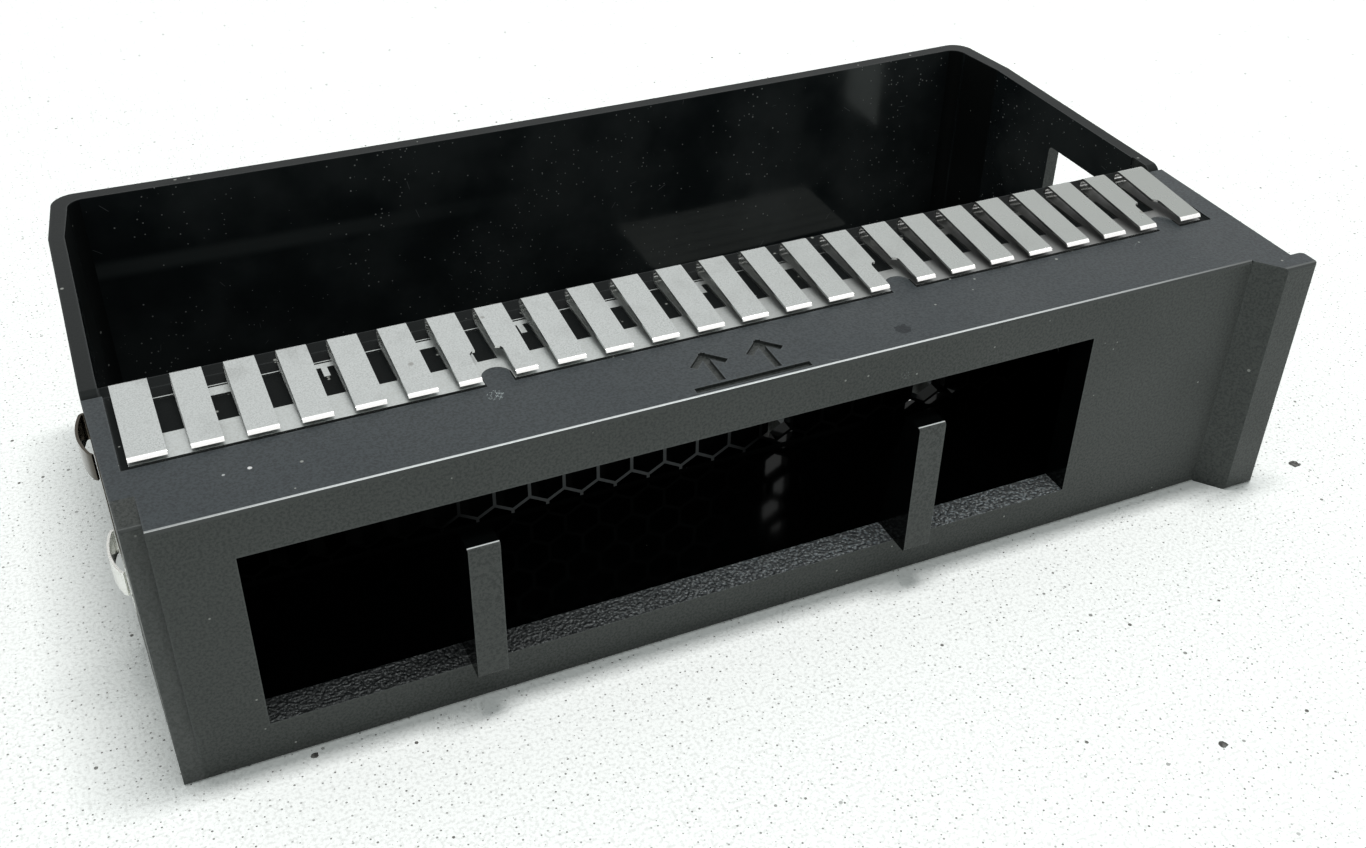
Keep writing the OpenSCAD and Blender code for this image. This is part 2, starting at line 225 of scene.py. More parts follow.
def scratch_group() -> bpy.types.NodeTree:
    """Hairline scratches: in a few cells of a cell texture, the thin slab through the cell's
    middle along a random plane, cut off at a length, which meets any surface in a short line."""
    tree, g, given, out = new_group(
        "Hairline scratches",
        {
            "Vector": ("Vector", 0),
            "Spacing": ("Float", 300.0),
            "Share": ("Float", 0.1),
            "Length": ("Float", 0.0006),
            "Width": ("Float", 0.00003),
        },
        {"Mask": "Float"},
    )
    place = given.outputs["Vector"]
    cells = g.node("TexVoronoi", {"Vector": place, "Scale": given.outputs["Spacing"]}, feature="F1")
    middle = cells.outputs["Position"]
    from_middle = g.vector("SUBTRACT", place, middle).outputs[0]
    direction = g.vector("SUBTRACT", cells.outputs["Color"], (0.5, 0.5, 0.5)).outputs[0]
    unit = g.vector("NORMALIZE", direction).outputs[0]
    off_plane = g.vector("DOT_PRODUCT", from_middle, unit).outputs["Value"]
    reach = g.vector("LENGTH", from_middle).outputs["Value"]
    thin = g.fade(g.math("ABSOLUTE", off_plane), given.outputs["Width"])
    ends = g.fade(reach, given.outputs["Length"])
    drawn = g.node("TexWhiteNoise", {"Vector": middle}).outputs["Value"]
    kept = g.math("LESS_THAN", drawn, given.outputs["Share"])
    line = g.math("MULTIPLY", thin, g.ramp(ends, 0.0, 0.3))
    g.feed(out.inputs["Mask"], g.math("MULTIPLY", line, kept))
    return tree


def wear_and_highlight_group() -> bpy.types.NodeTree:
    """Wear and painted highlight at the edges: how far the rounded normal turns from the true one, so it
    grows at the edges.
    """
    tree, g, given, out = new_group("Edge wear and painted highlight", {"Radius": ("Float", 0.0003)}, {"Mask": "Float"})
    rounded = g.node("Bevel", {"Radius": given.outputs["Radius"]}, samples=4)
    true = g.node("NewGeometry")
    alike = g.vector("DOT_PRODUCT", rounded.outputs[0], true.outputs["Normal"]).outputs["Value"]
    g.feed(out.inputs["Mask"], g.ramp(g.math("SUBTRACT", 1.0, alike), 0.03, 0.25))
    return tree


class Effects:
    """The shader groups that several finishes share, each built once."""

    def __init__(self) -> None:
        """Build the groups."""
        self.grain = grain_group()
        self.dust = dust_group()
        self.scratches = scratch_group()
        self.wear = wear_and_highlight_group()

    def place(self, g: Graph, group: bpy.types.NodeTree, inputs: Inputs) -> bpy.types.Node:
        """Put a group into a material's graph with its own values."""
        return g.node("Group", inputs, node_tree=group)


# ---- Finishes ------------------------------------------------------------


def started(name: str) -> tuple[bpy.types.Material, Graph, Socket]:
    """Start a material.

    Args:
        name: Name of the material.

    Returns:
        The material, its graph and the Object coordinates.
    """
    material = bpy.data.materials.new(name)
    material.use_nodes = True
    g = Graph(material.node_tree)
    return material, g, g.node("TexCoord").outputs["Object"]


def end_with(g: Graph, shader: bpy.types.Node) -> None:
    """Lead a shader to a material's output."""
    g.node("OutputMaterial", {"Surface": shader.outputs[0]})


@dataclass(frozen=True)
class Mark:
    """A small blemish: its middle and its radius in millimetres, its colour and its look.

    The middle counts from the corner that is given to mask. Raggedness is in features a metre.
    """

    middle: Point
    radius: float
    colour: Colour
    scratched: bool = False
    strength: float = 1.0
    raggedness: float = 2600.0
    line_width: float = 0.02

    def mask(self, g: Graph, place: Socket, corner: tuple[float, float]) -> Socket:
        """Return where the mark shows: a ragged disc, or thin crossing lines inside it."""
        x, y, z = self.middle
        centre = ((x + corner[0]) * MM, (y + corner[1]) * MM, z * MM)
        away = g.vector("DISTANCE", place, centre).outputs["Value"]
        ragged = g.noise(place, self.raggedness, 2.0)
        reach = g.math("MULTIPLY", g.math("ADD", 0.4, ragged), self.radius * MM)
        inside = g.math("LESS_THAN", away, reach)
        if not self.scratched:
            return inside
        off_level = g.math("ABSOLUTE", g.math("SUBTRACT", ragged, 0.5))
        return g.math("MULTIPLY", inside, g.math("LESS_THAN", off_level, self.line_width))


@dataclass(frozen=True)
class PlasticFinish:
    """Black moulded plastic, named by its place or its surface.

    Grain, leather and dust scales are in features a metre, bump heights and the reach of the wear
    and painted edge highlight in metres. A painted-light stretch is the middle and the half length,
    in millimetres along X, of the stretch that shows the light colour as painted light. A pale band
    is given by its height and half width, in millimetres. It grows leftwards from the middle over its
    run. The painted glints on the grain's tops grow from left to right between two places along X.
    """

    name: str
    colour: Colour
    light: Colour
    roughness: float
    rough_spread: float = 0.08
    grain_scale: float = 4200.0
    grain_height: float = 0.000012
    dust: float = 0.03
    dust_size: float = 0.13
    dust_spacing: float = 900.0
    dust_light: Colour = (0.42, 0.43, 0.4)
    scratches: float = 0.05
    scratch_light: Colour = (0.3, 0.31, 0.32)
    # The wear colour at the edges is part real wear, part painted highlight.
    wear: float = 0.3
    wear_reach: float = 0.0003
    wear_and_highlight_colour: Colour = (0.16, 0.17, 0.17)
    specular: float = 0.5
    leather: float = 0.0
    crease_shade: Colour = (0.008, 0.01, 0.012)
    painted_glint: Colour | None = None
    painted_glint_along: tuple[float, float] = (-70.0, 45.0)
    mottle: Colour | None = None
    sheen_tint: Colour = (0.93, 1.0, 0.97)
    painted_light_stretch: tuple[float, float] | None = None
    marks: tuple[Mark, ...] = ()
    pale_band: tuple[float, float] | None = None
    pale_band_light: Colour = (0.04, 0.045, 0.045)
    pale_band_run: float = 30.0

    def toned(self, g: Graph, place: Socket, patches: Socket) -> Socket:
        """Return the colour under the grain: two tones, by random patches or as painted light along X, and
        the pale band.
        """
        lightness = g.math("MULTIPLY", patches, 0.6)
        if self.painted_light_stretch:
            middle, half = (value * MM for value in self.painted_light_stretch)
            lightness = g.band(g.axis(place, "X"), middle, half, 0.6)
        base = g.mix(lightness, self.colour, self.light)
        # A pale band at a height on the surface, growing leftwards.
        if self.pale_band:
            level, half = (value * MM for value in self.pale_band)
            band = g.band(g.axis(place, "Z"), level, half, 0.8)
            leftwards = g.math("MULTIPLY", g.axis(place, "X"), -1.0)
            shown = g.math("MULTIPLY", band, g.ramp(leftwards, 0.0, self.pale_band_run * MM))
            base = g.mix(shown, base, self.pale_band_light)
        return base

    def grained(self, g: Graph, place: Socket, base: Socket, height: Socket) -> tuple[Socket, Socket]:
        """Colour the tops of the grain with painted glints, else with a mottle, and add leather with painted
        shade in its creases.

        Args:
            g: The material's graph.
            place: Object coordinates.
            base: The colour so far.
            height: The grain's height.

        Returns:
            The colour, and the height for the bump.
        """
        # Painted glints: pale tops of the grain, growing along X.
        if self.painted_glint:
            start, end = (value * MM for value in self.painted_glint_along)
            painted_glint_mask = g.math("MULTIPLY", g.ramp(height, 0.6, 0.8), g.ramp(g.axis(place, "X"), start, end))
            base = g.mix(painted_glint_mask, base, self.painted_glint)
        elif self.mottle:
            base = g.mix(g.ramp(height, 0.55, 0.9), base, self.mottle)
        # Leather pebbles, with painted shade in the creases between them.
        if self.leather:
            pebbles = g.node("TexVoronoi", {"Vector": place, "Scale": self.leather}, feature="SMOOTH_F1")
            height = g.math("ADD", g.math("MULTIPLY", height, 0.5), pebbles.outputs["Distance"])
            base = g.mix(g.math("MULTIPLY", g.ramp(height, 0.6, 0.85), 0.75), base, self.crease_shade)
        return base, height

    def material(self, effects: Effects) -> bpy.types.Material:
        """Build the material: grain in the bump; patches, wear with painted highlight at the edges, specks
        and scratches in the colour.
        """
        material, g, place = started("Black plastic, " + self.name)
        grain = effects.place(g, effects.grain, {"Vector": place, "Scale": self.grain_scale})
        specks = {"Vector": place, "Spacing": self.dust_spacing, "Share": self.dust, "Size": self.dust_size}
        dust = effects.place(g, effects.dust, specks).outputs["Mask"]
        strokes = {"Vector": place, "Share": self.scratches}
        lines = effects.place(g, effects.scratches, strokes).outputs["Mask"]
        worn_and_highlit = effects.place(g, effects.wear, {"Radius": self.wear_reach}).outputs["Mask"]
        patches = grain.outputs["Patches"]
        base = self.toned(g, place, patches)
        base, height = self.grained(g, place, base, grain.outputs["Height"])
        # Wear and painted highlight lighten the rounded edges.
        base = g.mix(g.math("MULTIPLY", worn_and_highlit, self.wear), base, self.wear_and_highlight_colour)
        base = g.mix(g.math("MULTIPLY", lines, 0.5), base, self.scratch_light)
        base = g.mix(g.math("MULTIPLY", dust, 0.8), base, self.dust_light)
        gloss = self.specular
        for mark in self.marks:
            shown = g.math("MULTIPLY", mark.mask(g, place, CORNER), mark.strength)
            base = g.mix(shown, base, mark.colour)
            gloss = g.math("MULTIPLY", gloss, g.math("SUBTRACT", 1.0, shown))
        rough = g.math("ADD", self.roughness, g.math("MULTIPLY", patches, self.rough_spread))
        rough = g.math("ADD", rough, g.math("MULTIPLY", dust, 0.4), clamp=True)
        bump = g.node("Bump", {"Height": height, "Distance": self.grain_height, "Strength": 1.0})
        look = {
            "Base Color": base,
            "Roughness": rough,
            "Specular IOR Level": gloss,
            "Specular Tint": (*self.sheen_tint, 1.0),
            "Normal": bump.outputs[0],
        }
        end_with(g, g.node("BsdfPrincipled", look))
        return material


@dataclass(frozen=True)
class SteelFinish:
    """Satin stainless sheet with fine speckle and faint stains.

    Scales are in features a metre, and the grain's height is in metres. The sheet can take painted
    shade along X between two places, and a painted dark reflection over a run round a height. Both
    are in millimetres.
    """

    name: str
    colour: Colour = (0.56, 0.59, 0.58)
    stain: Colour = (0.46, 0.48, 0.46)
    roughness: float = 0.22
    speckle: float = 7000.0
    stain_scale: float = 260.0
    cross_grain: Point = (9000.0, 500.0, 3000.0)
    grain_height: float = 0.000006
    spot: Colour = (0.2, 0.19, 0.17)
    painted_reflection: Colour = (0.07, 0.062, 0.05)
    painted_reflection_above: float | None = None
    painted_reflection_run: float = 1.5
    painted_shade: Colour | None = None
    painted_shade_along: tuple[float, float] = (0.0, 1.0)

    def toned(self, g: Graph, place: Socket, base: Socket) -> Socket:
        """Return the colour with its painted shade along X and its painted dark reflection."""
        # Painted shade along X.
        if self.painted_shade:
            start, end = (value * MM for value in self.painted_shade_along)
            base = g.mix(g.ramp(g.axis(place, "X"), start, end), base, self.painted_shade)
        # Painted dark reflection above a height.
        if self.painted_reflection_above:
            low, high = (self.painted_reflection_above - self.painted_reflection_run) * MM, (self.painted_reflection_above + self.painted_reflection_run) * MM
            base = g.mix(g.ramp(g.axis(place, "Z"), low, high), base, self.painted_reflection)
        return base

    def material(self, effects: Effects) -> bpy.types.Material:
        """Build the material: metal with speckle in the bump and stains in colour and gloss."""
        material, g, place = started(self.name)
        speckle = g.noise(place, self.speckle, 2.0)
        brushed = g.noise(g.vector("MULTIPLY", place, self.cross_grain).outputs[0], 1.0, 2.0)
        stains = g.noise(place, self.stain_scale, 4.0)
        specks = {"Vector": place, "Spacing": 700.0, "Share": 0.06, "Size": 0.16}
        spots = effects.place(g, effects.dust, specks).outputs["Mask"]
        tone = g.math("MULTIPLY", g.ramp(stains, 0.5, 0.75), 0.45)
        tone = g.math("ADD", tone, g.math("MULTIPLY", g.ramp(speckle, 0.4, 0.65), 0.6), clamp=True)
        base = self.toned(g, place, g.mix(tone, self.colour, self.stain))
        height = g.math("ADD", speckle, g.math("MULTIPLY", brushed, 0.8))
        bump = g.node("Bump", {"Height": height, "Distance": self.grain_height, "Strength": 1.0})
        look = {
            "Base Color": g.mix(g.math("MULTIPLY", spots, 0.5), base, self.spot),
            "Roughness": g.math("ADD", self.roughness, g.math("MULTIPLY", stains, 0.12)),
            "Metallic": 1.0,
            "Normal": bump.outputs[0],
        }
        end_with(g, g.node("BsdfPrincipled", look))
        return material


@dataclass(frozen=True)
class PaperFinish:
    """Coated white paper, blank but for plain grey bands. Their pitch is in millimetres."""

    name: str
    colour: Colour = (0.8, 0.8, 0.77)
    band: Colour = (0.35, 0.35, 0.34)
    fibre: Colour = (0.6, 0.6, 0.57)
    pitch: float = 2.1
    roughness: float = 0.45

    def material(self) -> bpy.types.Material:
        """Build the material: paper with fibre noise and a few printed bands across Y."""
        material, g, place = started(self.name)
        fibres = g.noise(place, 3000.0, 3.0)
        turn = 2 * math.pi / (self.pitch * MM)
        wave = g.math("SINE", g.math("MULTIPLY", g.axis(place, "Y"), turn))
        base = g.mix(g.math("MULTIPLY", g.ramp(wave, 0.55, 0.75), 0.5), self.colour, self.band)
        base = g.mix(g.math("MULTIPLY", fibres, 0.2), base, self.fibre)
        bump = g.node("Bump", {"Height": fibres, "Distance": 0.00001})
        look = {"Base Color": base, "Roughness": self.roughness, "Normal": bump.outputs[0]}
        end_with(g, g.node("BsdfPrincipled", look))
        return material


# ---- Mesh work -----------------------------------------------------------


def added(name: str, data: bpy.types.ID) -> bpy.types.Object:
    """Add an object with its data to the scene."""
    made = bpy.data.objects.new(name, data)
    bpy.context.scene.collection.objects.link(made)
    return made


def merged_copy(node: str, name: str, flat_angle: float = 0.3) -> bpy.types.Object:
    """Copy a CAD node's mesh as a new piece with its triangles joined.

    Args:
        node: Name of the CAD node.
        name: Name of the new piece.
        flat_angle: Degrees under which neighbouring faces are joined into one.

    Returns:
        The new object, at the origin, riding on the root body in place of the node.
    """
    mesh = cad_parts[node].data.copy()
    mesh.name = name
    mesh.materials.clear()
    work = bmesh.new()
    work.from_mesh(mesh)
    bmesh.ops.remove_doubles(work, verts=work.verts, dist=WELD)
    bmesh.ops.dissolve_limit(
        work, angle_limit=math.radians(flat_angle), verts=work.verts, edges=work.edges, delimit=set()
    )
    many_sided = [face for face in work.faces if len(face.verts) > 4]
    bmesh.ops.triangulate(work, faces=many_sided, quad_method="BEAUTY", ngon_method="BEAUTY")
    work.to_mesh(mesh)
    work.free()
    piece = added(name, mesh)
    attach(piece, "root")
    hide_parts(node)
    return piece


@dataclass
class EdgeMap:
    """Edges of a mesh with the two faces at each, as arrays."""

    mesh: bpy.types.Mesh
    points: np.ndarray = field(init=False)
    ends: np.ndarray = field(init=False)
    angle: np.ndarray = field(init=False)
    normals: np.ndarray = field(init=False)
    centres: np.ndarray = field(init=False)
    faces: np.ndarray = field(init=False)
    face_of_loop: np.ndarray = field(init=False)

    def __post_init__(self) -> None:
        """Read the mesh. The angle at an edge is the arc cosine of its two normals' product."""
        mesh = self.mesh
        self.points = self._read(mesh.vertices, "co")
        ends = np.zeros(len(mesh.edges) * 2, np.int32)
        mesh.edges.foreach_get("vertices", ends)
        self.ends = ends.reshape(-1, 2)
        self.normals = self._read(mesh.polygons, "normal")
        self.centres = self._read(mesh.polygons, "center")
        edge_of = np.zeros(len(mesh.loops), np.int32)
        mesh.loops.foreach_get("edge_index", edge_of)
        counts = np.zeros(len(mesh.polygons), np.int32)
        mesh.polygons.foreach_get("loop_total", counts)
        face_of = np.repeat(np.arange(len(counts)), counts)
        self.face_of_loop = face_of
        order = np.argsort(edge_of, kind="stable")
        edge_of, face_of = edge_of[order], face_of[order]
        first = np.searchsorted(edge_of, np.arange(len(self.ends)))
        last = np.searchsorted(edge_of, np.arange(len(self.ends)), side="right") - 1
        self.faces = np.stack([face_of[first], face_of[last]], 1)
        product = (self.normals[self.faces[:, 0]] * self.normals[self.faces[:, 1]]).sum(1)
        self.angle = np.degrees(np.arccos(np.clip(product, -1, 1)))

    @staticmethod
    def _read(items: bpy.types.bpy_prop_collection, what: str) -> np.ndarray:
        """Return a vector property of every vertex or face."""
        values = np.zeros(len(items) * 3)
        items.foreach_get(what, values)
        return values.reshape(-1, 3)

    def middles(self) -> np.ndarray:
        """Return the middle point of every edge."""
        return self.points[self.ends].mean(1)

    def lengths(self) -> np.ndarray:
        """Return the length of every edge."""
        return np.linalg.norm(self.points[self.ends[:, 0]] - self.points[self.ends[:, 1]], axis=1)


def apply_modifiers(piece: bpy.types.Object) -> None:
    """Put a piece's evaluated mesh in place of its mesh and modifiers."""
    bpy.context.view_layer.update()
    made = bpy.data.meshes.new_from_object(piece.evaluated_get(bpy.context.evaluated_depsgraph_get()))
    piece.modifiers.clear()
    old, piece.data = piece.data, made
    bpy.data.meshes.remove(old)


def set_normals(piece: bpy.types.Object, degrees: float, square_within: float = 0.6) -> None:
    """Shade flats as true planes and curves smooth.

    At each corner, the normals of the faces that meet there within an angle are added up by area,
    so that a rounding runs out into the large face beside it. A face square to an axis keeps its own.

    Args:
        piece: The object, without modifiers.
        degrees: Largest angle between two faces that shade as one surface.
        square_within: Degrees off an axis up to which a face shades as square to it.
    """
    mesh = piece.data
    mesh.polygons.foreach_set("use_smooth", np.ones(len(mesh.polygons), bool))
    edges = EdgeMap(mesh)
    area = np.zeros(len(mesh.polygons))
    mesh.polygons.foreach_get("area", area)
    vertex = np.zeros(len(mesh.loops), np.int32)
    mesh.loops.foreach_get("vertex_index", vertex)
    face = edges.face_of_loop
    order = np.argsort(vertex, kind="stable")
    count = np.bincount(vertex, minlength=len(mesh.vertices))
    first = np.cumsum(count) - count
    repeats = count[vertex]
    corner = np.repeat(np.arange(len(vertex)), repeats)
    step = np.arange(len(corner)) - np.repeat(np.cumsum(repeats) - repeats, repeats)
    other = face[order[first[vertex[corner]] + step]]
    alike = (edges.normals[face[corner]] * edges.normals[other]).sum(1) > math.cos(math.radians(degrees))
    share = alike * area[other]
    added = [np.bincount(corner, share * edges.normals[other, axis], len(vertex)) for axis in range(3)]
    normals = np.stack(added, 1)
    normals /= np.maximum(np.linalg.norm(normals, axis=1, keepdims=True), 1e-12)
    square = (np.abs(edges.normals).max(1) > math.cos(math.radians(square_within)))[face]
    normals[square] = np.round(edges.normals[face][square])
    mesh.normals_split_custom_set(normals.tolist())


def bevel_edges(
    piece: bpy.types.Object, width: float, weights: np.ndarray, segments: int = 2, finish_slot: int = -1
) -> None:
    """Round a piece's edges by a Bevel modifier that follows edge weights, and apply it.

    Args:
        piece: The object.
        width: Width at weight 1, in metres.
        weights: A weight for each edge.
        segments: Steps across the rounding.
        finish_slot: Material slot of the rounded faces; -1 takes the neighbours' material.
    """
    mesh = piece.data
    name = "bevel_weight_edge"
    stored = mesh.attributes.get(name) or mesh.attributes.new(name, "FLOAT", "EDGE")
    stored.data.foreach_set("value", weights.astype(np.float32))
    bevel = piece.modifiers.new("Rounding", "BEVEL")
    bevel.width = width
    bevel.segments = segments
    bevel.limit_method = "WEIGHT"
    bevel.use_clamp_overlap = True
    bevel.material = finish_slot
    bevel.loop_slide = False
    bevel.miter_outer = "MITER_ARC"
    apply_modifiers(piece)


# ---- Sub-assemblies --------------------------------------------------------


@dataclass
class UpMark:
    """Sunk "this way up" sign: two arrows that stand on a bar. Sizes in millimetres."""

    middle: tuple[float, float] = (49.2, 3.1)
    bar: float = 9.6
    height: float = 4.4
    spread: float = 2.5
    head: float = 1.25
    foot_gap: float = 0.9
    stroke: float = 0.62
    depth: float = 0.3

    def strokes(self) -> list[tuple[tuple[float, float], tuple[float, float]]]:
        """Return the centre line of each stroke, from end to end."""
        cx, cy = self.middle
        foot, tip = cy - self.height / 2, cy + self.height / 2
        lines = [((cx - self.bar / 2, foot), (cx + self.bar / 2, foot))]
        for x in (cx - self.spread, cx + self.spread):
            lines.append(((x, foot + self.foot_gap), (x, tip)))
            lines += [((x + side * self.head, tip - self.head), (x, tip)) for side in (-1, 1)]
        return lines

    def cutter(self, top: float, corner: tuple[float, float]) -> bpy.types.Object:
        """Make the solid that the sign takes out of the plate.

        Args:
            top: Height of the plate, in millimetres.
            corner: The body's left and front in the part frame, in millimetres.

        Returns:
            A temporary object of one block for each stroke.
        """
        points, faces = [], []
        levels = (top - self.depth, top + 1)
        for start, end in self.strokes():
            along = np.subtract(end, start)
            along = along / np.linalg.norm(along) * self.stroke / 2
            side = np.array([-along[1], along[0]])
            low, high = np.array(start) - along, np.array(end) + along
            ring = [low - side, high - side, high + side, low + side]
            ring = [((x + corner[0]) * MM, (y + corner[1]) * MM) for x, y in ring]
            first = len(points)
            points += [(x, y, z * MM) for z in levels for x, y in ring]
            faces.append((first + 3, first + 2, first + 1, first))
            faces.append((first + 4, first + 5, first + 6, first + 7))
            for i in range(4):
                after = (i + 1) % 4
                faces.append((first + i, first + after, first + 4 + after, first + 4 + i))
        mesh = bpy.data.meshes.new("mark cutter")
        mesh.from_pydata(points, [], faces)
        return added("mark cutter", mesh)


def carve(piece: bpy.types.Object, cutter: bpy.types.Object) -> None:
    """Take a cutter's solid out of a piece for good, and remove the cutter."""
    cut = piece.modifiers.new("Cut", "BOOLEAN")
    cut.object = cutter
    cut.operation = "DIFFERENCE"
    cut.solver = "EXACT"
    cut.use_self = True
    apply_modifiers(piece)
    spent = cutter.data
    bpy.data.objects.remove(cutter)
    bpy.data.meshes.remove(spent)


@dataclass
class Housing:
    """The moulded housing, with its sizes in millimetres from the body's left, front and bottom."""

    width: float = BODY_WIDTH
    depth: float = BODY_DEPTH
    top: float = PLATE_TOP
    front_depth: float = 17.9
    wall: float = 1.4
    face: float = 2.7
    grille: tuple[float, float] = (18.3, 20.7)
    window: tuple[float, float, float, float] = (7.7, 82.4, 4.05, 21.15)
    post_top: float = 17.7
    post_out: float = 1.8
    edge_radius: float = 0.35
    shoulder: tuple[float, float] = (2.1, 2.2)
    strip_bed: tuple[float, float] = (7.75, 0.15)
    rounding: float = 0.16

    def zones(self, centres: np.ndarray, normals: np.ndarray) -> np.ndarray:
        """Sort faces into zones by place and direction.

        Args:
            centres: Face centres in metres.
            normals: Face normals.

        Returns:
            The Zone value of each face.
        """
        x, y, z = (centres / MM + np.array([self.width / 2, self.depth / 2, 0])).T
        nx, ny, nz = normals.T
        zone = np.full(len(centres), Zone.OUTSIDE.value)
        up = nz > 0.9
        over_front = y < self.front_depth + 0.1

        # The tray and the front cavity: everything between the walls, short of their tops.
        within = (x > self.wall - 0.2) & (x < self.width - self.wall - 0.1) & (z > 2.0)
        inner = within & (y > self.face - 0.05) & (y < self.depth - self.wall + 0.1)
        inner &= ~((z > self.top - 0.4) & over_front) & ~((z > self.top - 0.1) & up)
        inner &= ~((ny > 0.1) & (y > self.depth - 5.0))
        outer_wall = (np.abs(nx) > 0.5) & ((x < 0.6) | (x > self.width - 0.6))
        zone[inner & ~outer_wall] = Zone.INSIDE.value
        # The front cavity takes a near-black finish, the black plastic darkened further as painted shade; the
        # webs' fronts take painted highlight.
        in_cavity = inner & (y < self.grille[1] - 0.05) & (z < self.top - 1.5)
        zone[in_cavity] = Zone.CAVITY.value
        web_fronts = (ny < -0.9) & (np.abs(y - self.grille[0]) < 0.05) & (z > 2.95)
        zone[in_cavity & web_fronts] = Zone.WEBS.value
        zone[inner & (np.abs(nx) > 0.12) & (ny < -0.12) & (y > self.grille[1])] = Zone.BED.value
        zone[(nz > 0.3) & (y > self.front_depth + 0.1) & (z > self.top - 0.6)] = Zone.RIM.value

        # The window's sides and head and the posts' tops take the near-black cavity finish, with painted
        # shade, and the ledge under the window takes painted light.
        x0, x1, z0, z1 = self.window
        at_window = (x > x0 - 0.05) & (x < x1 + 0.05) & (z > z0 - 0.05) & (z < z1 + 0.05)
        jambs = at_window & (y > -self.post_out) & (y < self.face) & ((np.abs(nx) > 0.5) | (nz < -0.5))
        zone[jambs] = Zone.CAVITY.value
        zone[at_window & up & (np.abs(z - self.post_top) < 0.1)] = Zone.CAVITY.value
        zone[at_window & up & (np.abs(z - z0) < 0.1) & (y < self.face)] = Zone.LEDGE.value

        # The top plate, the bed of the strip in it, and the rounded edge in front of it, with a painted
        # highlight along that edge's top.
        zone[up & (z > self.top - 0.1) & over_front] = Zone.TOP_PLATE.value
        in_bed = (y > self.strip_bed[0] - 0.1) & over_front & (z > self.top - self.strip_bed[1] - 0.1)
        zone[in_bed & (z < self.top - 0.02)] = Zone.BED.value
        turned = (ny < -0.1) & (nz > 0.1) & (y < self.edge_radius + 0.05)
        top_edge = turned & (z > self.top - self.edge_radius - 0.02)
        zone[top_edge] = Zone.EDGE.value
        zone[top_edge & (nz > 0.8)] = Zone.BRIGHT_EDGE.value

        # The leaning shoulder with its painted light, the rounded tops of the posts with a painted highlight,
        # and the step behind the plate.
        x_lean, y_lean = self.shoulder
        at_shoulder = (x < x_lean) & (y < y_lean)
        zone[(ny < -0.98) & at_shoulder] = Zone.SHOULDER.value
        zone[(ny < -0.15) & (nz > 0.3) & at_shoulder & (z > self.top - 1.2)] = Zone.EDGE.value
        post_edge = turned & (y < 0) & (np.abs(z - self.post_top) < 0.4) & (x < x1)
        zone[post_edge & (nz > 0.85)] = Zone.BRIGHT_EDGE.value
        step = (np.abs(z - self.top + 1.0) < 0.15) & (y > self.front_depth) & (y < self.grille[1] + 0.1)
        zone[up & step] = Zone.BED.value
        # Painted shade: the plate's rear band between the fingers takes the low-gloss bed finish.
        rear_band = (z > self.top - 0.4) & (y > self.strip_bed[0] + 6.0) & (y < self.front_depth + 0.3)
        zone[rear_band & (x > 7.0) & (x < self.width - 9.0)] = Zone.BED.value
        return zone

    def edge_weights(self, edges: EdgeMap) -> np.ndarray:
        """Give each edge a share of the rounding, with none on the fine honeycomb.

        Args:
            edges: The housing's edges.

        Returns:
            A weight from 0 to 1 for each edge.
        """
        x, y, z = (edges.middles() / MM + np.array([self.width / 2, self.depth / 2, 0])).T
        weight = np.where(edges.angle > 28, 1.0, 0.0)
        cells = (y > self.grille[0] - 0.2) & (y < self.grille[1] + 0.1)
        cells &= (x > 1.2) & (x < self.width - 1.3) & (z > 2.5) & (z < self.top - 0.6)
        weight[cells] = 0.0
        at_top = (z > self.top - 0.35) & (y < self.front_depth - 0.2)
        weight[at_top & (y > 0.4) & (np.abs(z - self.top) < 0.05)] *= 0.3
        weight[at_top & ((y > self.strip_bed[0] - 0.3) | (z < self.top - 0.05))] = 0.0
        weight[(np.abs(x - self.shoulder[0]) < 0.1) & (y < self.shoulder[1]) & (z < self.top - 0.3)] = 0.0
        weight[edges.lengths() < 0.25 * MM] = 0.0
        return weight

    def build(self, finishes: dict[Zone, bpy.types.Material]) -> bpy.types.Object:
        """Build and dress the housing.

        Args:
            finishes: The material of each zone.

        Returns:
            The finished piece.
        """
        piece = merged_copy("housing", "housing_moulding")
        carve(piece, UpMark().cutter(self.top, CORNER))
        for zone in Zone:
            piece.data.materials.append(finishes[zone])
        edges = EdgeMap(piece.data)
        slots = self.zones(edges.centres, edges.normals)
        piece.data.polygons.foreach_set("material_index", slots.astype(np.int32))
        bevel_edges(piece, self.rounding * MM, self.edge_weights(edges), finish_slot=Zone.EDGE.value)
        set_normals(piece, 30, square_within=7.0)
        return piece


@dataclass
class ContactStrip:
    """A stamped contact strip, made from its CAD node with the sheet's edges eased."""

    node: str
    name: str
    base_top: float = 25.6
    easing: float = 0.03

    def build(
        self, steel: bpy.types.Material, lip: bpy.types.Material, under: bpy.types.Material
    ) -> bpy.types.Object:
        """Build and dress the strip.

        Args:
            steel: The sheet's material.
            lip: The material of the folds that face the front, pale as painted highlight.
            under: The material of the base sheet and of the fingers' sides, with painted shade.

        Returns:
            The finished piece.
        """
        piece = merged_copy(self.node, self.name)
        for material in (steel, lip, under):
            piece.data.materials.append(material)
        edges = EdgeMap(piece.data)
        ny, nz = edges.normals[:, 1], edges.normals[:, 2]
        # Faces that turn away from the top and the base sheet take the shaded copy as painted shade; folds
        # facing the front take the pale copy as painted highlight.
        slots = np.where((nz < 0.5) | (edges.centres[:, 2] < self.base_top * MM), 2, 0)
        slots[ny < -0.22] = 1
        piece.data.polygons.foreach_set("material_index", slots.astype(np.int32))
        bevel_edges(piece, self.easing * MM, np.where(edges.angle > 50, 1.0, 0.0), 1)
        set_normals(piece, 24)
        return piece


# ---- Stage -----------------------------------------------------------------


